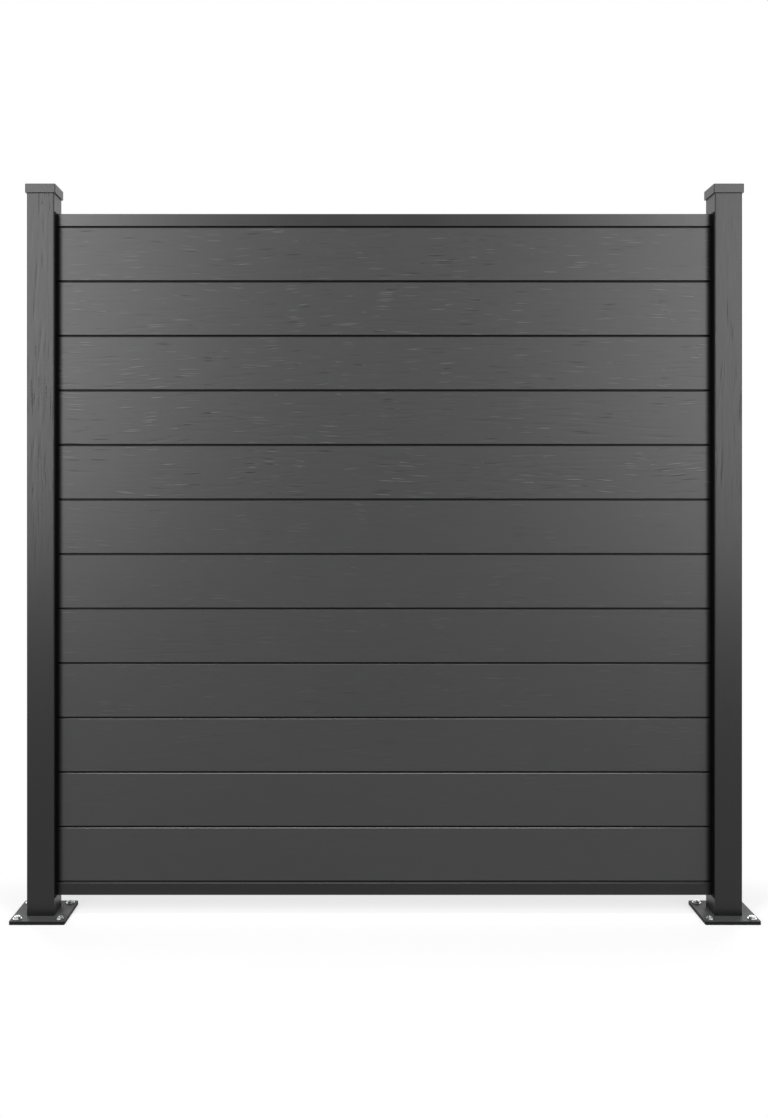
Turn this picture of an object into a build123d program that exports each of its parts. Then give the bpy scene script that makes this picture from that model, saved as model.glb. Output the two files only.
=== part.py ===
from build123d import *

import os

# Composite fence panel: tongue-and-groove boards stacked between two posts on bolted feet.
# Millimetres. X runs along the fence, the front faces -Y, and Z rises from the ground.

# Board stack
CLEAR_WIDTH = 1800.0  # between the facing sides of the two posts
BOARD_COUNT = 12
BOARD_PITCH = 150.0  # height that each board adds to the stack
BOARD_THICKNESS = 21.0
BOARD_SKIN = 5.5  # composite left around the hollow chambers
BOARD_EDGE_RADIUS = 1.2  # rounding along the lower edge of each face
SHOULDER_CHAMFER = 2.0  # bevel along the upper edge of each face
CHAMBER_COUNT = 5
CHAMBER_RADIUS = 2.5
SEAM_GAP = 5.0  # shadow line between one face and the next
TONGUE_THICKNESS = 8.0
TONGUE_ENGAGEMENT = 8.0  # depth of tongue inside the groove above it
TONGUE_CLEARANCE = 0.4  # each side of the tongue
TONGUE_RADIUS = 1.0

# Rails under and over the boards
GROUND_GAP = 57.0  # from the ground to the bottom rail
BOTTOM_RAIL_HEIGHT = 35.0  # without its tongue
TOP_RAIL_HEIGHT = 33.0
RAIL_WALL = 2.0
BOTTOM_RAIL_CHAMFER = 3.5  # sheds water off the shoulder
TOP_RAIL_CHAMFER = 1.0

# Side channels, let into the posts, that take the ends of the boards and rails
CHANNEL_FLANGE = 2.0  # thickness of the flanges that cover the side of the post
CHANNEL_WALL = 2.0
CHANNEL_DEPTH = 13.0  # from the side of the post to the back of the channel
CHANNEL_INSET = 2.5  # from the edge of the post to the edge of the flange
CHANNEL_CLEARANCE = 0.4  # each side of a board
POCKET_CLEARANCE = 0.3  # each side of the channel in the post
END_GAP = 3.0  # room for the boards to grow in the heat

# Posts and their caps
POST_SIDE = 75.0
POST_WALL = 8.0
CHANNEL_BACKING = 7.0  # wall of the post left behind the channel
POST_EDGE_RADIUS = 2.5
POST_BORE_RADIUS = 2.0
POST_REVEAL = 50.0  # from the top rail to the lower edge of the cap
CAP_HEIGHT = 25.0
CAP_TOP = 4.0
CAP_WALL = 3.7
CAP_CLEARANCE = 0.3  # each side of the post
CAP_EDGE_RADIUS = 2.0
CAP_RIM_RADIUS = 1.2  # around the lower edge
CAP_CORNER_RADIUS = 3.0

# Feet
PLATE_THICKNESS = 10.0
PLATE_MARGIN = 37.5  # from the side of the post to the edge of the plate
PLATE_CORNER_RADIUS = 4.0
PLATE_EDGE_CHAMFER = 0.8
STUB_HEIGHT = 600.0
STUB_WALL = 3.0
STUB_CLEARANCE = 0.5  # each side of the stub inside the post
STUB_CORNER_RADIUS = 4.0

# Anchors, M10
STUD_DIAMETER = 10.0
STUD_END = 1.5  # stands above the nut
STUD_CHAMFER = 1.2
ANCHOR_INSET = 18.0  # from the edge of the plate to each anchor
ANCHOR_HOLE_CLEARANCE = 1.0  # each side of the stud in the plate
NUT_ACROSS_FLATS = 16.0
NUT_HEIGHT = 5.0
NUT_CHAMFER = 1.2
NUT_BORE_CLEARANCE = 0.1
WASHER_DIAMETER = 24.0
WASHER_THICKNESS = 2.0
WASHER_BORE_CLEARANCE = 0.3

# Screws
SCREW_DIAMETER = 4.8
SCREW_HOLE_CLEARANCE = 0.1  # each side of the shank
SCREW_TIP_CHAMFER = 0.8
PAN_HEAD_DIAMETER = 9.0
PAN_HEAD_HEIGHT = 2.6
PAN_HEAD_RADIUS = 1.4
SINK_HEAD_DIAMETER = 8.4
SINK_HEAD_HEIGHT = 1.8
CHANNEL_SCREW_COUNT = 5
CHANNEL_SCREW_INSET = 90.0  # from each end of the channel
CHANNEL_SCREW_SHORT = 0.5  # tip stops this far inside the wall of the post
POST_SCREW_COUNT = 2
POST_SCREW_LOW = 110.0  # lowest screw above the plate
POST_SCREW_PITCH = 380.0
POST_SCREW_GRIP = 2.5  # thread inside the wall of the stub
RAIL_SCREW_INSET = 40.0  # from the post to the screw that ties a rail to its board
RAIL_SCREW_DROP = 2.6  # from the tip of the tongue to the middle of the screw
RAIL_SCREW_GRIP = 3.5  # thread inside the tongue

# Levels that follow from the sizes above
FIRST_SHOULDER = GROUND_GAP + BOTTOM_RAIL_HEIGHT
LAST_SHOULDER = FIRST_SHOULDER + BOARD_COUNT * BOARD_PITCH
PANEL_TOP = LAST_SHOULDER + SEAM_GAP + TOP_RAIL_HEIGHT
CAP_BOTTOM = PANEL_TOP + POST_REVEAL
POST_TOP = CAP_BOTTOM + CAP_HEIGHT - CAP_TOP
PANEL_HEIGHT = PANEL_TOP - GROUND_GAP
CHANNEL_FLOOR = CHANNEL_DEPTH - CHANNEL_WALL
CHANNEL_SLOT = BOARD_THICKNESS + 2 * CHANNEL_CLEARANCE
CHANNEL_WIDTH = CHANNEL_SLOT + 2 * CHANNEL_WALL
BOARD_LENGTH = CLEAR_WIDTH + 2 * (CHANNEL_FLOOR - END_GAP)
RAIL_SCREW_LENGTH = (BOARD_THICKNESS - TONGUE_THICKNESS) / 2 + RAIL_SCREW_GRIP
POST_X = (CLEAR_WIDTH + POST_SIDE) / 2
POST_SLOT_WALL = CHANNEL_DEPTH + CHANNEL_BACKING
BORE_X = POST_X + (POST_SLOT_WALL - POST_WALL) / 2
BORE_WIDTH = POST_SIDE - POST_WALL - POST_SLOT_WALL
BORE_DEPTH = POST_SIDE - 2 * POST_WALL
STUB_WIDTH = BORE_WIDTH - 2 * STUB_CLEARANCE
STUB_DEPTH = BORE_DEPTH - 2 * STUB_CLEARANCE
PLATE_SIDE = POST_SIDE + 2 * PLATE_MARGIN
TONGUE_HEIGHT = SEAM_GAP + TONGUE_ENGAGEMENT
SIDES = {"left": -1, "right": 1}
SAME_PLACE = 1e-6  # points closer than this are one corner


# Sections of the stack, drawn in the Y-Z plane


def stack_outline(foot, shoulder, grooved, tongued):
    half_thickness = BOARD_THICKNESS / 2
    half_tongue = TONGUE_THICKNESS / 2
    half_groove = half_tongue + TONGUE_CLEARANCE
    side = [(half_thickness, foot), (half_thickness, shoulder)]
    if grooved:
        side.insert(0, (half_groove, foot))
        side.insert(0, (half_groove, foot + TONGUE_ENGAGEMENT))
    if tongued:
        side.append((half_tongue, shoulder))
        side.append((half_tongue, shoulder + TONGUE_HEIGHT))
    other_side = [(-y, z) for y, z in reversed(side)]
    return make_face(Polyline(*side, *other_side, close=True))


def face_corners(outline, level):
    at_level = [v for v in outline.vertices() if abs(v.Y - level) < SAME_PLACE]
    return [v for v in at_level if abs(abs(v.X) - BOARD_THICKNESS / 2) < SAME_PLACE]


def tongue_corners(outline, shoulder):
    return [v for v in outline.vertices() if v.Y > shoulder + SEAM_GAP]


def along_fence(section, length):
    return extrude(Plane.YZ * section, amount=length / 2, both=True)


# Boards and rails


def board(number):
    shoulder_below = FIRST_SHOULDER + (number - 1) * BOARD_PITCH
    foot = shoulder_below + SEAM_GAP
    shoulder = shoulder_below + BOARD_PITCH
    section = stack_outline(foot, shoulder, grooved=True, tongued=True)
    section = fillet(face_corners(section, foot), BOARD_EDGE_RADIUS)
    section = chamfer(face_corners(section, shoulder), SHOULDER_CHAMFER)
    section = fillet(tongue_corners(section, shoulder), TONGUE_RADIUS)
    solid = along_fence(section - board_chambers(foot, shoulder), BOARD_LENGTH)
    if number in (1, BOARD_COUNT):
        solid -= rail_screw_holes()
    return solid


def board_chambers(foot, shoulder):
    low = foot + TONGUE_ENGAGEMENT + BOARD_SKIN
    high = shoulder - BOARD_SKIN
    step = (high - low + BOARD_SKIN) / CHAMBER_COUNT
    depth = BOARD_THICKNESS - 2 * BOARD_SKIN
    height = step - BOARD_SKIN
    chambers = Sketch()
    for index in range(CHAMBER_COUNT):
        middle = low + index * step + height / 2
        chambers += Pos(0, middle) * RectangleRounded(depth, height, CHAMBER_RADIUS)
    return chambers


def bottom_rail():
    section = stack_outline(GROUND_GAP, FIRST_SHOULDER, grooved=False, tongued=True)
    section = chamfer(face_corners(section, FIRST_SHOULDER), BOTTOM_RAIL_CHAMFER)
    return hollow_rail(section)


def top_rail():
    foot = LAST_SHOULDER + SEAM_GAP
    section = stack_outline(foot, PANEL_TOP, grooved=True, tongued=False)
    section = chamfer(face_corners(section, PANEL_TOP), TOP_RAIL_CHAMFER)
    return hollow_rail(section)


def hollow_rail(section):
    hollow = offset(section, -RAIL_WALL, kind=Kind.INTERSECTION)
    return along_fence(section - hollow, BOARD_LENGTH) - rail_screw_holes()


# Side channels


def channel_section(sign):
    half_slot = CHANNEL_SLOT / 2
    half_width = CHANNEL_WIDTH / 2
    half_flange = POST_SIDE / 2 - CHANNEL_INSET
    back = [(CHANNEL_FLOOR, half_slot), (-CHANNEL_FLANGE, half_slot), (-CHANNEL_FLANGE, half_flange)]
    back += [(0, half_flange), (0, half_width), (CHANNEL_DEPTH, half_width)]
    front = [(x, -y) for x, y in reversed(back)]
    return make_face(Polyline(*[(sign * x, y) for x, y in back + front], close=True))


def side_channel(sign):
    channel = extrude(channel_section(sign), amount=PANEL_HEIGHT, dir=(0, 0, 1))
    channel = Pos(sign * CLEAR_WIDTH / 2, 0, GROUND_GAP) * channel
    for level in channel_screw_levels():
        channel -= sink_screw(sign, level, SCREW_HOLE_CLEARANCE)
    return channel


# Posts, caps and feet


def bar(width, depth, corner_radius, low, high):
    return Pos(0, 0, low) * extrude(RectangleRounded(width, depth, corner_radius), amount=high - low)


def square_bar(side, corner_radius, low, high):
    return bar(side, side, corner_radius, low, high)


def channel_pocket(sign):
    middle_x = sign * (CLEAR_WIDTH + CHANNEL_DEPTH) / 2
    middle_z = GROUND_GAP + PANEL_HEIGHT / 2
    width = CHANNEL_WIDTH + 2 * POCKET_CLEARANCE
    return Pos(middle_x, 0, middle_z) * Box(CHANNEL_DEPTH, width, PANEL_HEIGHT)


def post(sign):
    outside = square_bar(POST_SIDE, POST_EDGE_RADIUS, PLATE_THICKNESS, POST_TOP)
    bore = bar(BORE_WIDTH, BORE_DEPTH, POST_BORE_RADIUS, PLATE_THICKNESS, POST_TOP)
    shell = Pos(sign * POST_X, 0, 0) * outside - Pos(sign * BORE_X, 0, 0) * bore
    shell -= channel_pocket(sign)
    for level in channel_screw_levels():
        shell -= sink_screw(sign, level, SCREW_HOLE_CLEARANCE)
    for level in post_screw_levels():
        shell -= back_hole(sign * BORE_X, POST_SIDE / 2, POST_WALL, level)
    return shell


def post_cap(sign):
    bore_side = POST_SIDE + 2 * CAP_CLEARANCE
    outer_side = bore_side + 2 * CAP_WALL
    cap = square_bar(outer_side, CAP_CORNER_RADIUS, CAP_BOTTOM, CAP_BOTTOM + CAP_HEIGHT)
    cap = fillet(cap.faces().sort_by(Axis.Z)[-1].edges(), CAP_EDGE_RADIUS)
    cap = fillet(cap.faces().sort_by(Axis.Z)[0].edges(), CAP_RIM_RADIUS)
    cap -= square_bar(bore_side, POST_EDGE_RADIUS, CAP_BOTTOM, POST_TOP)
    return Pos(sign * POST_X, 0, 0) * cap


def base_plate(sign):
    plate = square_bar(PLATE_SIDE, PLATE_CORNER_RADIUS, 0, PLATE_THICKNESS)
    plate = chamfer(plate.faces().sort_by(Axis.Z)[-1].edges(), PLATE_EDGE_CHAMFER)
    hole_radius = STUD_DIAMETER / 2 + ANCHOR_HOLE_CLEARANCE
    for x, y in anchor_corners():
        plate -= Pos(x, y, PLATE_THICKNESS / 2) * Cylinder(hole_radius, PLATE_THICKNESS)
    return Pos(sign * POST_X, 0, 0) * plate


def post_stub(sign):
    top = PLATE_THICKNESS + STUB_HEIGHT
    inner_width = STUB_WIDTH - 2 * STUB_WALL
    inner_depth = STUB_DEPTH - 2 * STUB_WALL
    outside = bar(STUB_WIDTH, STUB_DEPTH, STUB_CORNER_RADIUS, PLATE_THICKNESS, top)
    inside = bar(inner_width, inner_depth, STUB_CORNER_RADIUS / 2, PLATE_THICKNESS, top)
    stub = Pos(sign * BORE_X, 0, 0) * (outside - inside)
    for level in post_screw_levels():
        stub -= back_hole(sign * BORE_X, STUB_DEPTH / 2, STUB_WALL, level)
    return stub


# Anchors


def anchor_corners():
    reach = PLATE_SIDE / 2 - ANCHOR_INSET
    return [(x, y) for x in (-reach, reach) for y in (-reach, reach)]


def at_anchors(piece):
    return [Pos(sign * POST_X + x, y, 0) * piece for sign in SIDES.values() for x, y in anchor_corners()]


def anchor_washer():
    washer = Cylinder(WASHER_DIAMETER / 2, WASHER_THICKNESS)
    washer -= Cylinder(STUD_DIAMETER / 2 + WASHER_BORE_CLEARANCE, WASHER_THICKNESS)
    return Pos(0, 0, PLATE_THICKNESS + WASHER_THICKNESS / 2) * washer


def anchor_nut():
    hexagon = extrude(RegularPolygon(NUT_ACROSS_FLATS / 2, 6, major_radius=False), amount=NUT_HEIGHT)
    corner_radius = NUT_ACROSS_FLATS / 3**0.5
    turned = Pos(0, 0, NUT_HEIGHT / 2) * Cylinder(corner_radius, NUT_HEIGHT)
    turned = chamfer(turned.edges().sort_by(Axis.Z)[-1], NUT_CHAMFER / 2, NUT_CHAMFER)
    bore_radius = STUD_DIAMETER / 2 + NUT_BORE_CLEARANCE
    bore = Pos(0, 0, NUT_HEIGHT / 2) * Cylinder(bore_radius, NUT_HEIGHT)
    return Pos(0, 0, PLATE_THICKNESS + WASHER_THICKNESS) * ((hexagon & turned) - bore)


def anchor_stud():
    length = PLATE_THICKNESS + WASHER_THICKNESS + NUT_HEIGHT + STUD_END
    stud = Pos(0, 0, length / 2) * Cylinder(STUD_DIAMETER / 2, length)
    return chamfer(stud.edges().sort_by(Axis.Z)[-1], STUD_CHAMFER)


# Screws


def channel_screw_levels():
    low = GROUND_GAP + CHANNEL_SCREW_INSET
    step = (PANEL_TOP - CHANNEL_SCREW_INSET - low) / (CHANNEL_SCREW_COUNT - 1)
    return [low + index * step for index in range(CHANNEL_SCREW_COUNT)]


def post_screw_levels():
    low = PLATE_THICKNESS + POST_SCREW_LOW
    return [low + index * POST_SCREW_PITCH for index in range(POST_SCREW_COUNT)]


def rail_screw_places():
    x = CLEAR_WIDTH / 2 - RAIL_SCREW_INSET
    levels = [shoulder + TONGUE_HEIGHT - RAIL_SCREW_DROP for shoulder in (FIRST_SHOULDER, LAST_SHOULDER)]
    return [(sign * x, level) for sign in SIDES.values() for level in levels]


def rail_screw_holes():
    return [back_hole(x, BOARD_THICKNESS / 2, RAIL_SCREW_LENGTH, level) for x, level in rail_screw_places()]


def back_hole(x, face_y, depth, level):
    radius = SCREW_DIAMETER / 2 + SCREW_HOLE_CLEARANCE
    return Pos(x, face_y - depth / 2, level) * Rot(90, 0, 0) * Cylinder(radius, depth)


def pan_screw(x, face_y, shank_length, level):
    shank = Pos(0, 0, -shank_length / 2) * Cylinder(SCREW_DIAMETER / 2, shank_length)
    shank = chamfer(shank.edges().sort_by(Axis.Z)[0], SCREW_TIP_CHAMFER)
    head = Pos(0, 0, PAN_HEAD_HEIGHT / 2) * Cylinder(PAN_HEAD_DIAMETER / 2, PAN_HEAD_HEIGHT)
    head = fillet(head.edges().sort_by(Axis.Z)[-1], PAN_HEAD_RADIUS)
    return Pos(x, face_y, level) * Rot(-90, 0, 0) * (shank + head)


def sink_screw(sign, level, growth):
    head_face = sign * (CLEAR_WIDTH / 2 + CHANNEL_FLOOR)
    shank_length = CHANNEL_WALL + CHANNEL_BACKING - CHANNEL_SCREW_SHORT
    radius = SCREW_DIAMETER / 2 + growth
    head_radius = SINK_HEAD_DIAMETER / 2 + growth
    shank = Pos(0, 0, shank_length / 2) * Cylinder(radius, shank_length)
    head = Pos(0, 0, SINK_HEAD_HEIGHT / 2) * Cone(head_radius, radius, SINK_HEAD_HEIGHT)
    return Pos(head_face, 0, level) * Rot(0, 90 * sign, 0) * (shank + head)


def channel_screws():
    return [sink_screw(sign, level, 0) for sign in SIDES.values() for level in channel_screw_levels()]


def rail_screws():
    return [pan_screw(x, BOARD_THICKNESS / 2, RAIL_SCREW_LENGTH, level) for x, level in rail_screw_places()]


def post_screws():
    shank_length = POST_WALL + STUB_CLEARANCE + POST_SCREW_GRIP
    places = [(sign * BORE_X, level) for sign in SIDES.values() for level in post_screw_levels()]
    return [pan_screw(x, POST_SIDE / 2, shank_length, level) for x, level in places]


# One file for each piece, or for each group of like fasteners


def all_nodes():
    nodes = {"bottom_rail": bottom_rail(), "top_rail": top_rail()}
    for number in range(1, BOARD_COUNT + 1):
        nodes[f"board_{number:02d}"] = board(number)
    for side, sign in SIDES.items():
        nodes[f"post_{side}"] = post(sign)
        nodes[f"post_cap_{side}"] = post_cap(sign)
        nodes[f"base_plate_{side}"] = base_plate(sign)
        nodes[f"post_stub_{side}"] = post_stub(sign)
        nodes[f"side_channel_{side}"] = side_channel(sign)
    nodes["anchor_studs"] = Compound(at_anchors(anchor_stud()))
    nodes["anchor_nuts"] = Compound(at_anchors(anchor_nut()))
    nodes["anchor_washers"] = Compound(at_anchors(anchor_washer()))
    nodes["channel_screws"] = Compound(channel_screws())
    nodes["rail_screws"] = Compound(rail_screws())
    nodes["post_screws"] = Compound(post_screws())
    return nodes


os.makedirs("parts", exist_ok=True)
for name, shape in all_nodes().items():
    export_step(shape, f"parts/{name}.step")
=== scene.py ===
import math

import bmesh
import bpy
import numpy as np
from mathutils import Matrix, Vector


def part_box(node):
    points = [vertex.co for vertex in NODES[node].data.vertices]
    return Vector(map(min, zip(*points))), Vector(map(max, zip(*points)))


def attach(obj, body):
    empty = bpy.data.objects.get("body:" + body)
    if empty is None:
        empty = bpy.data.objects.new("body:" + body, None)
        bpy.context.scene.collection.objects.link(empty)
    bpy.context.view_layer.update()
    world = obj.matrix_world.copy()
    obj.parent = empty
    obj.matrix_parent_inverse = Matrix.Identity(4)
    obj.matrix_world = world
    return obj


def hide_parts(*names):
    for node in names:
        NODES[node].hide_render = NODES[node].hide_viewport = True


# Dresses the fence panel: grained boards and posts, coated metal, zinc anchors and a white studio.
# Metres. X runs along the fence, the front faces -Y, and Z rises from the ground.

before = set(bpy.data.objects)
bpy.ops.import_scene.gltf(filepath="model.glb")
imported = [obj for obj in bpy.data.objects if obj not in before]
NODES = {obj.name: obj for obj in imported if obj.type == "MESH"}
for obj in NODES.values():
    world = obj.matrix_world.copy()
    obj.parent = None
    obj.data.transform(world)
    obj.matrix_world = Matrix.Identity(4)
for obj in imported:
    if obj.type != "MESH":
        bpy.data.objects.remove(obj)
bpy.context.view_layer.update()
BODY = "root"

# Sockets of a colour mix
MIX_FIRST_COLOUR = 6
MIX_SECOND_COLOUR = 7
MIX_RESULT_COLOUR = 2

# Photograph and camera
PHOTO_WIDTH = 768
PHOTO_HEIGHT = 1117
FOCAL_PX = 1070.9
VANISHING_PX = (351.6, 495.3)
SENSOR_MM = 36.0
CAMERA_PLACE = (-0.0897, -2.9554, 1.1561)

# Board section, as in the solids apart from the bevels, which set how thick the seams look
FOOT_BEVEL_HEIGHT = 0.0006
FOOT_BEVEL_DEPTH = 0.0016
BEVEL_EDGE = 0.0002  # over which the tone of a face turns into that of a bevel
SHOULDER_CHAMFER = 0.0015
TONGUE_THICKNESS = 0.008
TONGUE_HEIGHT = 0.013
TONGUE_RADIUS = 0.001
GROOVE_WIDTH = 0.0088
GROOVE_DEPTH = 0.008
BOARD_SKIN = 0.0055
CHAMBER_COUNT = 5
CHAMBER_RADIUS = 0.0025
BOARD_SEAT = 0.008  # of each end, inside its channel
END_SHADE = (0.004, 0.018)  # painted shade where the posts shade the boards: outside the channel, the tone rises from none to the face's own

# Post section, as in the solids
POST_WALL = 0.008
POST_SLOT_WALL = 0.020
POST_EDGE_RADIUS = 0.0025
POST_BORE_RADIUS = 0.002
POST_FACES = 4
POCKET_WIDTH = 0.0264
POCKET_DRAFT = 0.0002  # keeps the pocket's corners apart where it runs out

# Mesh density
BOARD_ROWS = 72
BOARD_STATIONS = 184
POST_ROWS = 36
POST_STATIONS = 200
ARC_STEPS = 3
QUARTER_TURN = 90
SHARP_ANGLE = math.radians(35)
SAME_PLACE = 1e-6
SORT_DIGITS = 5  # to which places are rounded before they are sorted

# Embossed wood grain: short strokes in clusters, with fine fibres between them
CLUSTERS_PER_AREA = 62.0  # for each square metre of face
CLUSTER_STROKES = (4, 15)
CLUSTER_LENGTH = 0.11  # spread along the grain
CLUSTER_WIDTH = 0.017  # spread across the grain
CLUSTER_TILT = 0.06  # slope of a cluster's strokes against the grain
STROKE_TILT = 0.025
STROKE_REACH = (0.010, 0.055)  # half length
STROKE_WIDTH = (0.0014, 0.0022)
STROKE_DEPTH = (0.0001, 0.0005)
RIDGE_SHARE = 0.3  # the other strokes are grooves
RIDGE_HEIGHT = 0.5  # of a groove's depth
DEEPEST = -0.0006
HIGHEST = 0.0002
FIBRE_LENGTH = 0.06
FIBRE_WIDTH = 0.004
FIBRE_DEPTH = 0.00008
NOISE_MIDDLE = 0.5
EDGE_MARGIN = 0.004  # the strokes run out this close to the edges of a face
LATTICE = 128
# Heights that the grain fades between, and the share of it that is left below them
GRAIN_FADES = ((1.10, 1.18, 0.32), (0.15, 0.60, 0.30))
FACE_TONE = 0.6  # 0 is a recess in painted shade, 1 a smooth edge with a painted highlight
# painted highlight: the shoulder chamfers get a lighter colour, standing in for the line of light
# along them, and are smoother
EDGE_HIGHLIGHT_TONE = 1.0
SMOOTH_ABOVE = 0.7
TONE_DEPTH = 0.02
FRONT_SEED = 100
BACK_SEED = 300
LEFT_POST_SEED = 500
RIGHT_POST_SEED = 1000

# Anchor threads
THREAD_PITCH = 0.0015
THREAD_DEPTH = 0.0009
THREAD_SIDES = 28
THREAD_ROWS_PER_TURN = 6
STUD_RADIUS = 0.005
STUD_CHAMFER = 0.0012

# Pan head screws
SCREW_RADIUS = 0.0045
SCREW_HEIGHT = 0.0026
SCREW_FLATNESS = 4  # power of the dome
SCREW_SINK = 0.0002  # lower rim lies this far inside what it clamps
RECESS_WIDTH = 0.0012
RECESS_SLOPE = RECESS_WIDTH / 2
RECESS_REACH = 0.0027
RECESS_DEPTH = 0.0014
SCREW_RINGS = 22
SCREW_SIDES = 64

# Grained composite: linear colours of recess and ridge, also used for the painted shade of seams
# and board ends and the painted highlight of chamfers, stretch of noise and dashes, and gloss
BOARD_FINISH = dict(
    dark=(0.004, 0.004, 0.0041, 1),
    light=(0.034, 0.0343, 0.0350, 1),
    streak_stretch=(14, 260, 260),
    dash_stretch=(13, 180, 180),
    dash_gleam=0.55,
    roughness=0.408,
    specular=0.42,
)
POST_FINISH = dict(
    dark=(0.001, 0.001, 0.001, 1),
    light=(0.004, 0.0041, 0.0042, 1),
    streak_stretch=(260, 260, 14),
    dash_stretch=(180, 180, 5),
    dash_gleam=0.3,
    roughness=0.354,
    specular=0.37,
)
STREAK_SHARE = 0.10  # how far streaks and clouds shift the tone, either way
CLOUD_SHARE = 0.08
CLOUD_SCALE = 2.4
STREAK_DETAIL = 4.0
CLOUD_DETAIL = 3.0
STREAK_BUMP = 0.15
STREAK_BUMP_HEIGHT = 0.0005
GLOSS_SPREAD = 0.05

# Fine dashes of the grain, drawn in the material
DASH_CORE = 0.12  # in cells of the pattern
DASH_EDGE = 0.46
DASH_CROWD = 1.0  # share of the cells that hold a dash where they crowd most
DASH_PATCH_SCALE = 7.0
DASH_PATCH_DETAIL = 2.0
DASH_PATCH_RANGE = (0.35, 0.7)  # of the noise, from no dash to the densest crowd
DASH_SHARE = 0.4  # how far a dash shifts the tone, either way
DARKEST_DASH = -0.6  # against the lightest one
RECESS_GLEAM = 0.25  # against the gleam of a face
EDGE_ROUGHNESS = 0.5  # against the roughness of a face
DASH_BUMP = 0.8
DASH_BUMP_HEIGHT = 0.0006
WAVE_SCALE = 3.0
WAVE_DETAIL = 1.0
WAVE_REACH = 0.05

# Coated and plated pieces: linear colour, gloss and the strength of the coat's fine texture
NEAR_BLACK = (0.002, 0.002, 0.002, 1)
TOP_RAIL_FINISH = dict(colour=NEAR_BLACK, roughness=0.358, specular=0.50, peel=0.12)
BOTTOM_RAIL_FINISH = dict(colour=NEAR_BLACK, roughness=0.358, specular=0.37, peel=0.12)
CHANNEL_FINISH = dict(colour=NEAR_BLACK, roughness=0.55, specular=0.05, peel=0.12)
CAP_FINISH = dict(colour=(0.010, 0.0101, 0.0104, 1), roughness=0.36, specular=0.40, peel=0.12)
# Painted light: the plates' upward faces get a lighter colour, as if lit from above
PLATE_FINISH = dict(
    colour=(0.012, 0.0121, 0.0123, 1),
    painted_top_light=(0.066, 0.0665, 0.0675, 1),
    roughness=0.55,
    specular=0.08,
    peel=0.2,
)
ZINC_FINISH = dict(
    colour=(0.40, 0.405, 0.415, 1),
    roughness=0.30,
    specular=0.5,
    peel=0.12,
    metallic=1.0,
)
STEEL_FINISH = dict(
    colour=(0.46, 0.47, 0.48, 1),
    roughness=0.40,
    specular=0.5,
    peel=0.2,
    metallic=1.0,
)
SCREW_FINISH = dict(colour=(0.012, 0.012, 0.0125, 1), roughness=0.40, specular=0.4, peel=0.12)
COAT_SCALE = 900.0
COAT_DETAIL = 2.0
COAT_HEIGHT = 0.0002
COAT_CLOUDS = 7.0
COAT_DARKEST = 0.86
TOP_LIGHT_SLOPE = (0.3, 0.9)  # of the upward part of a face's direction
TOP_LIGHT_FAINTEST = 0.8

# Studio
SIDE_LAMP_SIZE = (1.41, 3.1)
LEFT_LAMP = (-2.10, -2.95, 2.28)
LEFT_LAMP_WATTS = 106.0
RIGHT_LAMP = (2.22, -2.95, 2.17)
RIGHT_LAMP_WATTS = 86.0
TOP_LAMP = (0.0, -1.45, 5.0)
TOP_LAMP_SIZE = (4.1, 0.88)
TOP_LAMP_WATTS = 95.0
BACK_LAMPS = ((-2.5, 3.0, 2.1), (2.5, 3.0, 2.1))
BACK_LAMP_WATTS = 60.0
LAMP_AIM_HEIGHT = 1.1
AMBIENT = 0.15
WHITE = 1.0  # strength at which a background renders white
FLOOR_REACH = 40.0
FLOOR_GLOW = 0.63
FLOOR_SHADE = 0.36
FLOOR_BOUNCE = 0.4
SHADOW_SHAPE = (0.75, 3.6, 1.0)  # scales the floor before its distance from the middle is taken
SHADOW_NEAR = 0.8
SHADOW_FAR = 1.4


# Small helpers for shader nodes


def add_node(tree, kind, **settings):
    made = tree.nodes.new(kind)
    for name, value in settings.items():
        setattr(made, name, value)
    return made


def combine(tree, operation, first, second):
    made = add_node(tree, "ShaderNodeMath", operation=operation)
    tree.links.new(first, made.inputs[0])
    tree.links.new(second, made.inputs[1])
    return made.outputs[0]


def add_up(tree, first, second):
    return combine(tree, "ADD", first, second)


def multiply(tree, first, second):
    return combine(tree, "MULTIPLY", first, second)


def remap(tree, value, low, high, source=(0.0, 1.0), kind="LINEAR"):
    made = add_node(tree, "ShaderNodeMapRange", interpolation_type=kind)
    tree.links.new(value, made.inputs["Value"])
    made.inputs["From Min"].default_value, made.inputs["From Max"].default_value = source
    made.inputs["To Min"].default_value = low
    made.inputs["To Max"].default_value = high
    return made.outputs["Result"]


def blend_colours(tree, share, first, second):
    made = add_node(tree, "ShaderNodeMix", data_type="RGBA")
    tree.links.new(share, made.inputs["Factor"])
    made.inputs[MIX_FIRST_COLOUR].default_value = first
    made.inputs[MIX_SECOND_COLOUR].default_value = second
    return made.outputs[MIX_RESULT_COLOUR]


def object_place(tree):
    return add_node(tree, "ShaderNodeTexCoord").outputs["Object"]


def stretched(tree, place, stretch):
    made = add_node(tree, "ShaderNodeMapping")
    made.inputs["Scale"].default_value = stretch
    tree.links.new(place, made.inputs["Vector"])
    return made.outputs["Vector"]


def noise_at(tree, place, scale, detail):
    made = add_node(tree, "ShaderNodeTexNoise")
    tree.links.new(place, made.inputs["Vector"])
    made.inputs["Scale"].default_value = scale
    made.inputs["Detail"].default_value = detail
    return made


def noise(tree, scale, detail, stretch=(1, 1, 1)):
    place = stretched(tree, object_place(tree), stretch)
    return noise_at(tree, place, scale, detail).outputs["Fac"]


def bump(tree, height, strength, distance):
    made = add_node(tree, "ShaderNodeBump")
    made.inputs["Strength"].default_value = strength
    made.inputs["Distance"].default_value = distance
    tree.links.new(height, made.inputs["Height"])
    return made


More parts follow.
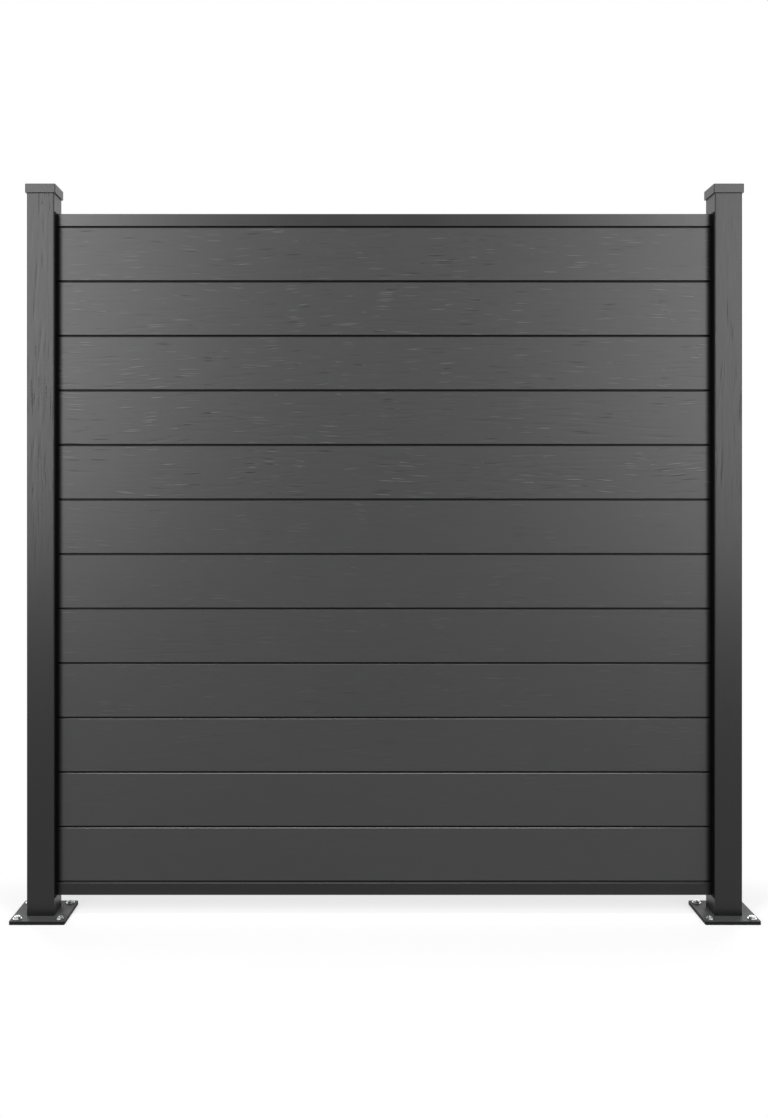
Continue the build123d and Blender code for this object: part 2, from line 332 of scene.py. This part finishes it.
def wavy_place(tree):
    place = object_place(tree)
    waves = noise_at(tree, place, WAVE_SCALE, WAVE_DETAIL)
    bend = add_node(tree, "ShaderNodeVectorMath", operation="SCALE")
    bend.inputs["Scale"].default_value = WAVE_REACH
    tree.links.new(waves.outputs["Color"], bend.inputs[0])
    bent = add_node(tree, "ShaderNodeVectorMath", operation="ADD")
    tree.links.new(place, bent.inputs[0])
    tree.links.new(bend.outputs[0], bent.inputs[1])
    return bent.outputs[0]


def upward_part(tree, vector):
    made = add_node(tree, "ShaderNodeSeparateXYZ")
    tree.links.new(vector, made.inputs[0])
    return made.outputs["Z"]


def dashes(tree, stretch):
    cells = add_node(tree, "ShaderNodeTexVoronoi")
    cells.inputs["Scale"].default_value = 1.0
    tree.links.new(stretched(tree, wavy_place(tree), stretch), cells.inputs["Vector"])
    chance = add_node(tree, "ShaderNodeSeparateColor")
    tree.links.new(cells.outputs["Color"], chance.inputs["Color"])
    patches = noise(tree, DASH_PATCH_SCALE, DASH_PATCH_DETAIL)
    crowd = remap(tree, patches, 0.0, DASH_CROWD, DASH_PATCH_RANGE)
    held = combine(tree, "LESS_THAN", chance.outputs["Red"], crowd)
    body = remap(tree, cells.outputs["Distance"], 1.0, 0.0, (DASH_CORE, DASH_EDGE), "SMOOTHSTEP")
    sign = remap(tree, chance.outputs["Green"], DARKEST_DASH, 1.0)
    marks = multiply(tree, multiply(tree, body, held), sign)
    height = upward_part(tree, object_place(tree))
    for low, high, share in GRAIN_FADES:
        strength = remap(tree, height, share, 1.0, (low, high), "SMOOTHSTEP")
        marks = multiply(tree, marks, strength)
    return marks


def seen_directly(tree):
    path = add_node(tree, "ShaderNodeLightPath")
    seen = add_up(tree, path.outputs["Is Camera Ray"], path.outputs["Is Glossy Ray"])
    return add_up(tree, seen, path.outputs["Is Transmission Ray"])


def new_material(name):
    material = bpy.data.materials.new(name)
    material.use_nodes = True
    return material, material.node_tree, material.node_tree.nodes["Principled BSDF"]


# Materials


def composite_material(
    name, dark, light, streak_stretch, dash_stretch, dash_gleam, roughness, specular
):
    material, tree, shader = new_material(name)
    # On boards this attribute also holds painted shade at the seams and board ends, and a painted
    # highlight on the chamfers
    relief = add_node(tree, "ShaderNodeAttribute", attribute_name="grain").outputs["Fac"]
    streaks = noise(tree, 1.0, STREAK_DETAIL, streak_stretch)
    marks = dashes(tree, dash_stretch)
    marks = multiply(tree, marks, remap(tree, relief, 1.0, 0.0, (SMOOTH_ABOVE, EDGE_HIGHLIGHT_TONE)))
    share = add_up(tree, relief, remap(tree, streaks, -STREAK_SHARE, STREAK_SHARE))
    clouds = noise(tree, CLOUD_SCALE, CLOUD_DETAIL)
    share = add_up(tree, share, remap(tree, clouds, -CLOUD_SHARE, CLOUD_SHARE))
    share = add_up(tree, share, remap(tree, marks, -DASH_SHARE, DASH_SHARE, (-1.0, 1.0)))
    gloss = remap(tree, streaks, roughness - GLOSS_SPREAD, roughness + GLOSS_SPREAD)
    sheen = remap(tree, relief, 1.0, EDGE_ROUGHNESS, (SMOOTH_ABOVE, EDGE_HIGHLIGHT_TONE))
    gloss = multiply(tree, gloss, sheen)
    fine = bump(tree, streaks, STREAK_BUMP, STREAK_BUMP_HEIGHT)
    coarse = bump(tree, marks, DASH_BUMP, DASH_BUMP_HEIGHT)
    tree.links.new(coarse.outputs["Normal"], fine.inputs["Normal"])
    tree.links.new(blend_colours(tree, share, dark, light), shader.inputs["Base Color"])
    tree.links.new(gloss, shader.inputs["Roughness"])
    dullest = specular * (1 - dash_gleam)
    brightest = specular * (1 + dash_gleam)
    gleam = remap(tree, marks, dullest, brightest, (-1.0, 1.0))
    gleam = multiply(tree, gleam, remap(tree, relief, RECESS_GLEAM, 1.0, (0.0, FACE_TONE)))
    tree.links.new(gleam, shader.inputs["Specular IOR Level"])
    tree.links.new(fine.outputs["Normal"], shader.inputs["Normal"])
    return material


# Painted light: upward faces turn towards a lighter colour, as from light falling from above,
# varied by faint clouds
def painted_top_light_share(tree, clouds):
    facing = add_node(tree, "ShaderNodeNewGeometry").outputs["Normal"]
    lit_from_above = remap(tree, upward_part(tree, facing), 0.0, 1.0, TOP_LIGHT_SLOPE)
    return multiply(tree, lit_from_above, remap(tree, clouds, TOP_LIGHT_FAINTEST, 1.0))


def coated_material(name, colour, roughness, specular, peel, metallic=0.0, painted_top_light=None):
    material, tree, shader = new_material(name)
    clouds = noise(tree, COAT_CLOUDS, CLOUD_DETAIL)
    darker = [COAT_DARKEST * channel for channel in colour[:3]] + [1]
    gloss = remap(tree, clouds, roughness - GLOSS_SPREAD, roughness + GLOSS_SPREAD)
    share = painted_top_light_share(tree, clouds) if painted_top_light else clouds
    tree.links.new(blend_colours(tree, share, darker, painted_top_light or colour), shader.inputs["Base Color"])
    tree.links.new(gloss, shader.inputs["Roughness"])
    shader.inputs["Metallic"].default_value = metallic
    shader.inputs["Specular IOR Level"].default_value = specular
    coat = bump(tree, noise(tree, COAT_SCALE, COAT_DETAIL), peel, COAT_HEIGHT)
    tree.links.new(coat.outputs["Normal"], shader.inputs["Normal"])
    return material


def diffuse(tree, level):
    made = add_node(tree, "ShaderNodeBsdfDiffuse")
    made.inputs["Color"].default_value = (level, level, level, 1)
    return made.outputs[0]


def glow(tree, level):
    made = add_node(tree, "ShaderNodeEmission")
    made.inputs["Strength"].default_value = level
    return made.outputs[0]


def blend_shaders(tree, share, first, second):
    made = add_node(tree, "ShaderNodeMixShader")
    for socket, source in zip(made.inputs, (share, first, second)):
        tree.links.new(source, socket)
    return made.outputs[0]


def clear_floor(tree):
    distance = add_node(tree, "ShaderNodeVectorMath", operation="LENGTH")
    tree.links.new(stretched(tree, object_place(tree), SHADOW_SHAPE), distance.inputs[0])
    reach = (SHADOW_NEAR, SHADOW_FAR)
    return remap(tree, distance.outputs["Value"], 0.0, 1.0, reach, "SMOOTHSTEP")


def floor_material():
    material, tree, shader = new_material("studio_floor")
    tree.nodes.remove(shader)
    shaded = add_node(tree, "ShaderNodeAddShader")
    tree.links.new(glow(tree, FLOOR_GLOW), shaded.inputs[0])
    tree.links.new(diffuse(tree, FLOOR_SHADE), shaded.inputs[1])
    seen = blend_shaders(tree, clear_floor(tree), shaded.outputs[0], glow(tree, WHITE))
    surface = blend_shaders(tree, seen_directly(tree), diffuse(tree, FLOOR_BOUNCE), seen)
    tree.links.new(surface, tree.nodes["Material Output"].inputs["Surface"])
    return material


# Grain relief


def fade(share):
    held = np.clip(share, 0, 1)
    return held * held * (3 - 2 * held)


def grain_strength(height):
    strength = 1.0
    for low, high, share in GRAIN_FADES:
        strength = strength * (share + (1 - share) * fade((height - low) / (high - low)))
    return strength


def lattice_noise(draws, along, across):
    lattice = draws.random((LATTICE, LATTICE))
    column = np.floor(along).astype(int)
    row = np.floor(across).astype(int)
    right = fade(along - column)
    up = fade(across - row)

    def corner(i, j):
        return lattice[(column + i) % LATTICE, (row + j) % LATTICE]

    low = corner(0, 0) * (1 - right) + corner(1, 0) * right
    high = corner(0, 1) * (1 - right) + corner(1, 1) * right
    return low * (1 - up) + high * up


def add_stroke(field, along, across, place, tilt, draws):
    reach = draws.uniform(*STROKE_REACH)
    width = draws.uniform(*STROKE_WIDTH)
    height = -draws.uniform(*STROKE_DEPTH)
    if draws.random() < RIDGE_SHARE:
        height *= -RIDGE_HEIGHT
    columns = np.abs(along - place[0]) < reach
    offset = along[columns] - place[0]
    rise = across[:, None] - place[1] - tilt * offset[None, :]
    taper = 1 - (offset[None, :] / reach) ** 2
    field[:, columns] += height * taper * np.exp(-((rise / width) ** 2))


def grain_relief(seed, along, across):
    draws = np.random.default_rng(seed)
    field = np.zeros((len(across), len(along)))
    area = (along[-1] - along[0]) * (across[-1] - across[0])
    for _ in range(round(CLUSTERS_PER_AREA * area)):
        middle = draws.uniform((along[0], across[0]), (along[-1], across[-1]))
        cluster_tilt = draws.normal(0, CLUSTER_TILT)
        for _ in range(draws.integers(*CLUSTER_STROKES)):
            place = middle + draws.normal(0, 1, 2) * (CLUSTER_LENGTH, CLUSTER_WIDTH)
            tilt = cluster_tilt + draws.normal(0, STROKE_TILT)
            add_stroke(field, along, across, place, tilt, draws)
    fibres = lattice_noise(draws, along[None, :] / FIBRE_LENGTH, across[:, None] / FIBRE_WIDTH)
    field = np.clip(field + FIBRE_DEPTH * (fibres - NOISE_MIDDLE), DEEPEST, HIGHEST)
    from_edge = np.minimum(across - across[0], across[-1] - across)
    return field * fade(from_edge / EDGE_MARGIN)[:, None]


# Extruded meshes


def arc(centre, radius, start_deg, end_deg):
    angles = np.radians(np.linspace(start_deg, end_deg, ARC_STEPS + 1))
    return [(centre[0] + radius * math.cos(a), centre[1] + radius * math.sin(a)) for a in angles]


def rounded_loop(half_width, half_height, radius, middle=(0, 0)):
    loop = []
    for turn, (x_sign, y_sign) in enumerate(((1, 1), (-1, 1), (-1, -1), (1, -1))):
        x = middle[0] + x_sign * (half_width - radius)
        y = middle[1] + y_sign * (half_height - radius)
        loop += arc((x, y), radius, QUARTER_TURN * turn, QUARTER_TURN * (turn + 1))
    return np.array(loop)


def ring_faces(first, second, count):
    faces = []
    for i in range(count):
        after = (i + 1) % count
        faces.append((first + i, first + after, second + after, second + i))
    return faces


def along_x(stations, sections):
    rings = np.empty(sections.shape[:2] + (3,))
    rings[:, :, 0] = np.asarray(stations)[:, None]
    rings[:, :, 1:] = sections
    return rings


def along_z(stations, sections):
    rings = np.empty(sections.shape[:2] + (3,))
    rings[:, :, :2] = sections
    rings[:, :, 2] = np.asarray(stations)[:, None]
    return rings


def swept_mesh(name, rings, bores):
    count = rings.shape[1]
    last = (len(rings) - 1) * count
    points = rings.reshape(-1, 3).tolist()
    faces = []
    for start in range(0, last, count):
        faces += ring_faces(start, start + count, count)
    ends = [list(range(count)), list(range(last, last + count))]
    for bore in bores:
        first = len(points)
        second = first + bore.shape[1]
        points += bore.reshape(-1, 3).tolist()
        faces += ring_faces(first, second, bore.shape[1])
        ends[0] += range(first, second)
        ends[1] += range(second, len(points))
    mesh = bpy.data.meshes.new(name)
    mesh.from_pydata(points, [], faces)
    close_ends(mesh, ends)
    return mesh


def close_ends(mesh, ends):
    shape = bmesh.new()
    shape.from_mesh(mesh)
    shape.verts.ensure_lookup_table()
    for end in ends:
        members = {shape.verts[i] for i in end}
        rim = [edge for edge in shape.edges if edge.is_boundary and set(edge.verts) <= members]
        bmesh.ops.triangle_fill(shape, use_beauty=True, use_dissolve=False, edges=rim)
    bmesh.ops.recalc_face_normals(shape, faces=shape.faces)
    shape.to_mesh(mesh)
    shape.free()


def paint_grain_and_painted_light(mesh, tones):
    attribute = mesh.attributes.new("grain", "FLOAT", "POINT")
    values = np.zeros(len(mesh.vertices), np.float32)
    values[: tones.size] = tones.T.ravel()
    attribute.data.foreach_set("value", values)


def add_piece(name, mesh, material, slot, *replaced):
    mesh.shade_smooth()
    mesh.set_sharp_from_angle(angle=SHARP_ANGLE)
    mesh.materials.append(material)
    piece = bpy.data.objects.new(name, mesh)
    bpy.context.scene.collection.objects.link(piece)
    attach(piece, BODY)
    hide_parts(*replaced)


# Boards


def board_outline(foot, shoulder, half):
    bevel = shoulder - SHOULDER_CHAMFER
    face_low = foot + FOOT_BEVEL_HEIGHT
    rows = np.linspace(face_low, bevel, BOARD_ROWS + 2)[1:-1]
    half_tongue = TONGUE_THICKNESS / 2
    tongue_top = shoulder + TONGUE_HEIGHT
    half_groove = GROOVE_WIDTH / 2
    front = [(-half + FOOT_BEVEL_DEPTH, foot), (-half, face_low), (-half, face_low + BEVEL_EDGE)]
    front += [(-half, z) for z in rows]
    front += [(-half, bevel - BEVEL_EDGE), (-half, bevel)]
    front += [(-half + SHOULDER_CHAMFER, shoulder), (-half_tongue, shoulder)]
    tip = (-half_tongue + TONGUE_RADIUS, tongue_top - TONGUE_RADIUS)
    front += arc(tip, TONGUE_RADIUS, 2 * QUARTER_TURN, QUARTER_TURN)
    back = [(-y, z) for y, z in reversed(front)]
    groove = [(half_groove, foot), (half_groove, foot + GROOVE_DEPTH)]
    groove += [(-half_groove, foot + GROOVE_DEPTH), (-half_groove, foot)]
    return np.array(front + back + groove), rows


def board_chambers(foot, shoulder, half):
    low = foot + GROOVE_DEPTH + BOARD_SKIN
    step = (shoulder - low) / CHAMBER_COUNT
    half_height = (step - BOARD_SKIN) / 2
    middles = [low + step * index + half_height for index in range(CHAMBER_COUNT)]
    half_width = half - BOARD_SKIN
    return [rounded_loop(half_width, half_height, CHAMBER_RADIUS, (0, z)) for z in middles]


def board_stations(low, high):
    shade = BOARD_SEAT + np.array(END_SHADE)
    even = np.linspace(low, high, BOARD_STATIONS)
    return np.sort(np.concatenate((even, low + shade, high - shade)))


# Painted shade: a board's tone falls to nothing where it meets the channel, where the post shades
# it
def end_shade(stations):
    from_channel = np.minimum(stations - stations[0], stations[-1] - stations) - BOARD_SEAT
    return np.clip((from_channel - END_SHADE[0]) / (END_SHADE[1] - END_SHADE[0]), 0, 1)


# Painted shade and highlight: foot bevels, tongues and grooves get tone 0, painted shade in the
# seams; shoulder chamfers get the edge tone, a painted highlight
def board_tones(outline, foot, shoulder, half):
    in_light = np.abs(outline[:, 0]) > half - SHOULDER_CHAMFER - SAME_PLACE
    in_light &= outline[:, 1] > foot + FOOT_BEVEL_HEIGHT + SAME_PLACE
    on_highlit_edge = in_light & (outline[:, 1] > shoulder - SHOULDER_CHAMFER - SAME_PLACE)
    return np.where(on_highlit_edge, EDGE_HIGHLIGHT_TONE, np.where(in_light, FACE_TONE, 0.0))


def make_board(number, material):
    node = f"board_{number:02d}"
    low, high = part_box(node)
    half = high.y
    foot = low.z
    shoulder = high.z - TONGUE_HEIGHT
    outline, rows = board_outline(foot, shoulder, half)
    stations = board_stations(low.x, high.x)
    sections = np.repeat(outline[None], len(stations), axis=0)
    around = board_tones(outline, foot, shoulder, half)
    tones = np.repeat(around[:, None], len(stations), axis=1)
    in_rows = (outline[:, 1] > rows[0] - SAME_PLACE) & (outline[:, 1] < rows[-1] + SAME_PLACE)
    for side, seed in ((-1, FRONT_SEED + number), (1, BACK_SEED + number)):
        face = in_rows & np.isclose(outline[:, 0], side * half)
        relief = grain_relief(seed, stations, outline[face, 1][:: -side])[:: -side]
        relief = relief * grain_strength((foot + shoulder) / 2)
        sections[:, face, 0] += side * relief.T
        tones[face] += relief / TONE_DEPTH
    ends = (low.x, high.x)
    chambers = board_chambers(foot, shoulder, half)
    bores = [along_x(ends, np.stack((loop, loop))) for loop in chambers]
    mesh = swept_mesh(f"{node}_grained", along_x(stations, sections), bores)
    paint_grain_and_painted_light(mesh, tones * end_shade(stations))
    add_piece(f"{node}_grained", mesh, material, "board_composite", node)


# Posts


def post_outline(half):
    radius = POST_EDGE_RADIUS
    rows = np.linspace(-half + radius, half - radius, POST_ROWS + 2)[1:-1]
    points = []
    faces = []
    for turn in range(POST_FACES):
        start = QUARTER_TURN * turn
        angle = math.radians(start)
        out = np.array((math.cos(angle), math.sin(angle)))
        aside = np.array((-out[1], out[0]))
        inside_pocket = np.abs(rows) < POCKET_WIDTH / 2
        kept = rows[~inside_pocket] if turn == 0 else rows
        faces.append((len(points), out, kept))
        points += [out * half + aside * row for row in kept]
        corner = arc((out + aside) * (half - radius), radius, start, start + QUARTER_TURN)
        points += [np.array(point) for point in corner]
    return np.array(points), faces


def pocket_stations(low, high, pocket_low, pocket_high):
    ends = (pocket_low - POCKET_DRAFT, pocket_low, pocket_high, pocket_high + POCKET_DRAFT)
    return np.sort(np.concatenate((np.linspace(low, high, POST_STATIONS), ends)))


def cut_pocket(sections, tones, half, depths):
    rim = POCKET_WIDTH / 2
    floor = rim - POCKET_DRAFT
    first = int(np.argmax(sections[0, :, 1] > rim))
    across = (-rim, -floor, floor, rim)
    pocket = np.empty((len(depths), len(across), 2))
    pocket[:, :, 1] = across
    pocket[:, :, 0] = half
    pocket[:, 1:-1, 0] -= depths[:, None]
    shaded = np.full((len(across), len(depths)), FACE_TONE)
    places = [first] * len(across)
    return np.insert(sections, places, pocket, axis=1), np.insert(tones, places, shaded, axis=0)


def post_bore(half):
    half_width = half - (POST_WALL + POST_SLOT_WALL) / 2
    middle = ((POST_WALL - POST_SLOT_WALL) / 2, 0.0)
    return rounded_loop(half_width, half - POST_WALL, POST_BORE_RADIUS, middle)


def make_post(side, toward_boards, seed, material):
    node = f"post_{side}"
    low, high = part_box(node)
    channel_low, channel_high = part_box(f"side_channel_{side}")
    half = high.y
    middle = (low.x + high.x) / 2
    channel_back = channel_low.x if toward_boards > 0 else channel_high.x
    depth = abs(channel_back - middle - toward_boards * half)
    stations = pocket_stations(low.z, high.z, channel_low.z, channel_high.z)
    outline, faces = post_outline(half)
    sections = np.repeat(outline[None], len(stations), axis=0)
    tones = np.full((len(outline), len(stations)), FACE_TONE)
    for turn, (first, out, rows) in enumerate(faces):
        face = slice(first, first + len(rows))
        relief = grain_relief(seed + turn, stations, rows) * grain_strength(stations)
        sections[:, face] += out * relief.T[:, :, None]
        tones[face] += relief / TONE_DEPTH
    in_pocket = (stations >= channel_low.z) & (stations <= channel_high.z)
    sections, tones = cut_pocket(sections, tones, half, np.where(in_pocket, depth, 0.0))
    mirror = np.array((toward_boards, 1.0))
    place = np.array((middle, 0.0))
    loop = post_bore(half) * mirror + place
    bores = [along_z((low.z, high.z), np.stack((loop, loop)))]
    mesh = swept_mesh(f"{node}_grained", along_z(stations, sections * mirror + place), bores)
    paint_grain_and_painted_light(mesh, tones)
    add_piece(f"{node}_grained", mesh, material, "post_composite", node)


# Anchors and screws


def island_boxes(node):
    shape = bmesh.new()
    shape.from_mesh(NODES[node].data)
    bmesh.ops.remove_doubles(shape, verts=shape.verts, dist=SAME_PLACE)
    left = set(shape.verts)
    boxes = []
    while left:
        reached = {left.pop()}
        edge_of_search = list(reached)
        while edge_of_search:
            vert = edge_of_search.pop()
            fresh = {link.other_vert(vert) for link in vert.link_edges} & left
            left -= fresh
            reached |= fresh
            edge_of_search += fresh
        places = np.array([vert.co for vert in reached])
        boxes.append((places.min(0), places.max(0)))
    shape.free()
    return sorted(boxes, key=lambda box: tuple(np.round(box[0], SORT_DIGITS)))


def thread_points(centre, low, high):
    rows = int((high - low) / THREAD_PITCH * THREAD_ROWS_PER_TURN) + 1
    points = []
    for z in np.linspace(low, high, rows):
        for side in range(THREAD_SIDES):
            turn = side / THREAD_SIDES
            phase = ((z - low) / THREAD_PITCH - turn) % 1
            cut = THREAD_DEPTH * abs(2 * phase - 1)
            radius = min(STUD_RADIUS - cut, STUD_RADIUS - STUD_CHAMFER + (high - z))
            angle = 2 * math.pi * turn
            x = centre[0] + radius * math.cos(angle)
            y = centre[1] + radius * math.sin(angle)
            points.append((x, y, z))
    return points, rows


def make_studs(material):
    points = []
    faces = []
    for low, high in island_boxes("anchor_studs"):
        start = len(points)
        added, rows = thread_points((low + high) / 2, low[2], high[2])
        points += added
        for row in range(rows - 1):
            lower = start + row * THREAD_SIDES
            faces += ring_faces(lower, lower + THREAD_SIDES, THREAD_SIDES)
        faces.append(tuple(range(start + THREAD_SIDES - 1, start - 1, -1)))
        faces.append(tuple(range(len(points) - THREAD_SIDES, len(points))))
    mesh = bpy.data.meshes.new("anchor_studs_threaded")
    mesh.from_pydata(points, [], faces)
    add_piece("anchor_studs_threaded", mesh, material, "zinc_steel", "anchor_studs")


def head_height(x, y):
    radius = math.hypot(x, y)
    dome = SCREW_HEIGHT * math.sqrt(max(0.0, 1 - (radius / SCREW_RADIUS) ** SCREW_FLATNESS))
    narrow = min(abs(x), abs(y))
    wide = max(abs(x), abs(y))
    inside = min(1.0, max(0.0, (RECESS_WIDTH - narrow) / RECESS_SLOPE))
    inside *= min(1.0, max(0.0, (RECESS_REACH - wide) / RECESS_SLOPE))
    return dome - RECESS_DEPTH * inside


def screw_points(centre, face_y):
    points = [(centre[0], face_y + head_height(0, 0), centre[2])]
    for ring in range(1, SCREW_RINGS + 1):
        radius = SCREW_RADIUS * ring / SCREW_RINGS
        for side in range(SCREW_SIDES):
            angle = 2 * math.pi * side / SCREW_SIDES
            x = radius * math.cos(angle)
            z = radius * math.sin(angle)
            points.append((centre[0] + x, face_y + head_height(x, z), centre[2] + z))
    return points + [(x, face_y - SCREW_SINK, z) for x, y, z in points[-SCREW_SIDES:]]


def screw_faces(start):
    first_ring = start + 1
    bottom = first_ring + SCREW_RINGS * SCREW_SIDES
    ring = range(SCREW_SIDES)
    faces = [(start, first_ring + i, first_ring + (i + 1) % SCREW_SIDES) for i in ring]
    for inner in range(first_ring, bottom, SCREW_SIDES):
        faces += ring_faces(inner, inner + SCREW_SIDES, SCREW_SIDES)
    faces.append(tuple(range(bottom, bottom + SCREW_SIDES)))
    return faces


def make_screws(node, face_y, material):
    points = []
    faces = []
    for low, high in island_boxes(node):
        faces += screw_faces(len(points))
        points += screw_points((low + high) / 2, face_y)
    name = f"{node}_crossed"
    mesh = bpy.data.meshes.new(name)
    mesh.from_pydata(points, [], faces)
    close_ends(mesh, [])
    add_piece(name, mesh, material, "screw_steel", node)


# Dressing the solids that stay


def dress(start, material):
    for node, obj in NODES.items():
        if node.startswith(start):
            obj.data.materials.clear()
            obj.data.materials.append(material)


# Studio


def make_floor():
    reach = FLOOR_REACH
    mesh = bpy.data.meshes.new("floor")
    corners = [(-reach, -reach, 0), (reach, -reach, 0), (reach, reach, 0), (-reach, reach, 0)]
    mesh.from_pydata(corners, [], [(0, 1, 2, 3)])
    mesh.materials.append(floor_material())
    floor = bpy.data.objects.new("floor", mesh)
    bpy.context.scene.collection.objects.link(floor)


def make_world():
    world = bpy.data.worlds.new("studio")
    bpy.context.scene.world = world
    world.use_nodes = True
    tree = world.node_tree
    background = tree.nodes["Background"]
    background.inputs["Color"].default_value = (1, 1, 1, 1)
    strength = remap(tree, seen_directly(tree), AMBIENT, WHITE)
    tree.links.new(strength, background.inputs["Strength"])


def add_lamp(name, place, size, watts, aim):
    light = bpy.data.lights.new(name, "AREA")
    light.shape = "RECTANGLE"
    light.size, light.size_y = size
    light.energy = watts
    lamp = bpy.data.objects.new(name, light)
    lamp.location = place
    lamp.rotation_euler = (Vector(aim) - lamp.location).to_track_quat("-Z", "Y").to_euler()
    bpy.context.scene.collection.objects.link(lamp)


def make_lamps():
    panel = (0, 0, LAMP_AIM_HEIGHT)
    ground = (TOP_LAMP[0], TOP_LAMP[1], 0)
    add_lamp("lamp_left", LEFT_LAMP, SIDE_LAMP_SIZE, LEFT_LAMP_WATTS, panel)
    add_lamp("lamp_right", RIGHT_LAMP, SIDE_LAMP_SIZE, RIGHT_LAMP_WATTS, panel)
    add_lamp("lamp_top", TOP_LAMP, TOP_LAMP_SIZE, TOP_LAMP_WATTS, ground)
    for index, place in enumerate(BACK_LAMPS):
        add_lamp(f"lamp_back_{index}", place, SIDE_LAMP_SIZE, BACK_LAMP_WATTS, panel)


def make_camera():
    data = bpy.data.cameras.new("camera")
    data.lens = SENSOR_MM * FOCAL_PX / PHOTO_HEIGHT
    data.sensor_width = SENSOR_MM
    data.shift_x = (PHOTO_WIDTH / 2 - VANISHING_PX[0]) / PHOTO_HEIGHT
    data.shift_y = (VANISHING_PX[1] - PHOTO_HEIGHT / 2) / PHOTO_HEIGHT
    camera = bpy.data.objects.new("camera", data)
    camera.location = CAMERA_PLACE
    camera.rotation_euler = (math.pi / 2, 0, 0)
    bpy.context.scene.collection.objects.link(camera)
    bpy.context.scene.camera = camera


# The whole object


def make_object():
    board_material = composite_material("board_composite", **BOARD_FINISH)
    post_material = composite_material("post_composite", **POST_FINISH)
    zinc = coated_material("zinc_plate", **ZINC_FINISH)
    screw = coated_material("black_screw", **SCREW_FINISH)
    board_count = sum(name.startswith("board_") for name in NODES)
    for number in range(1, 1 + board_count):
        make_board(number, board_material)
    make_post("left", 1, LEFT_POST_SEED, post_material)
    make_post("right", -1, RIGHT_POST_SEED, post_material)
    make_studs(zinc)
    make_screws("rail_screws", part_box("rail_screws")[1].y - SCREW_HEIGHT, screw)
    make_screws("post_screws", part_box("post_left")[1].y, screw)
    dress("top_rail", coated_material("top_rail_coat", **TOP_RAIL_FINISH))
    dress("bottom_rail", coated_material("bottom_rail_coat", **BOTTOM_RAIL_FINISH))
    dress("side_channel", coated_material("channel_coat", **CHANNEL_FINISH))
    dress("post_cap", coated_material("cap_plastic", **CAP_FINISH))
    dress("base_plate", coated_material("plate_coat", **PLATE_FINISH))
    dress("post_stub", coated_material("galvanised_steel", **STEEL_FINISH))
    dress("anchor", zinc)
    dress("channel_screws", screw)


bpy.context.scene.view_settings.view_transform = "Standard"
make_object()
make_floor()
make_world()
make_lamps()
make_camera()
